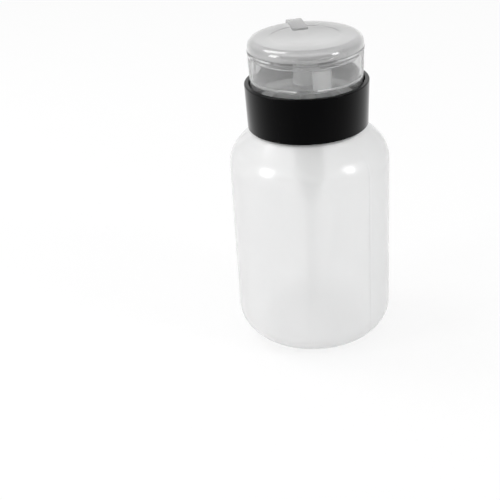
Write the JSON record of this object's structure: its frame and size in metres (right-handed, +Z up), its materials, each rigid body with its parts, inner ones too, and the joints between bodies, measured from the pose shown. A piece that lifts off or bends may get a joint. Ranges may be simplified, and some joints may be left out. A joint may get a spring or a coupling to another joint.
{
  "type": "press pump bottle",
  "caption": "Round translucent bottle with a black screw collar and a spring pump: pressing the clear cup brings remover into its dish, and a lid snaps shut over it.",
  "frame": {"origin": "centre of the bottle's base, on the plane it stands on", "axes": "+Z up along the bottle's axis, +Y towards the lid's hinge, -Y towards its thumb lip"},
  "size_m": [0.062, 0.062, 0.1234],
  "materials": {
    "milky_plastic": "milky translucent, satin",
    "black_plastic": "polished black",
    "clear_plastic": "clear, slightly frosted",
    "white_plastic": "natural white, satin",
    "tube_plastic": "natural translucent",
    "gasket_foam": "closed-cell foam, matt",
    "steel": "bright stainless"
  },
  "bodies": {
    "bottle": {"bottle": "milky_plastic"},
    "engine": {"neck_gasket": "gasket_foam", "pump_cylinder": "white_plastic", "cylinder_cap": "white_plastic", "dip_tube": "tube_plastic", "ball_cage": "white_plastic", "return_spring": "steel"},
    "inlet_valve": {"inlet_ball": "steel"},
    "closure": {"collar": "black_plastic", "closure_nut": "white_plastic"},
    "plunger": {"press_head": "clear_plastic", "nozzle_cap": "clear_plastic", "hinge_ring": "clear_plastic", "piston_stem": "white_plastic", "piston": "tube_plastic", "piston_seat": "white_plastic"},
    "outlet_valve": {"outlet_ball": "steel"},
    "lid": {"lid": "clear_plastic"},
    "link": {"snap_link": "clear_plastic"}
  },
  "joints": [
    {"name": "pump_lift", "type": "slide", "parent": "bottle", "child": "engine", "axis": [0, 0, 1], "range_m": [0, 0.00375]},
    {"name": "collar_turn", "type": "hinge", "parent": "engine", "child": "closure", "pos_m": [0, 0, 0.0972], "axis": [0, 0, 1], "range_deg": [0, 450]},
    {"name": "inlet_ball_lift", "type": "slide", "parent": "engine", "child": "inlet_valve", "axis": [0, 0, 1], "range_m": [0, 0.001]},
    {"name": "head_press", "type": "slide", "parent": "engine", "child": "plunger", "axis": [0, 0, -1], "range_m": [0, 0.0055], "stiffness_N_per_m": 600, "springref_m": -0.003, "deforming": ["return_spring"]},
    {"name": "outlet_ball_lift", "type": "slide", "parent": "plunger", "child": "outlet_valve", "axis": [0, 0, 1], "range_m": [0, 0.0008]},
    {"name": "lid_hinge", "type": "hinge", "parent": "plunger", "child": "lid", "pos_m": [0, 0.0241, 0.11907], "axis": [-1, 0, 0], "range_deg": [0, 165]},
    {"name": "link_hinge", "type": "hinge", "parent": "plunger", "child": "link", "pos_m": [0, 0.02389, 0.11748], "axis": [-1, 0, 0], "range_deg": [0, 153.2]}
  ],
  "couplings": [
    {"joint": "collar_turn", "follows": "pump_lift", "rad_per_m": 2094.4},
    {"joint": "link_hinge", "follows": "lid_hinge", "ratio": 0.92857}
  ]
}
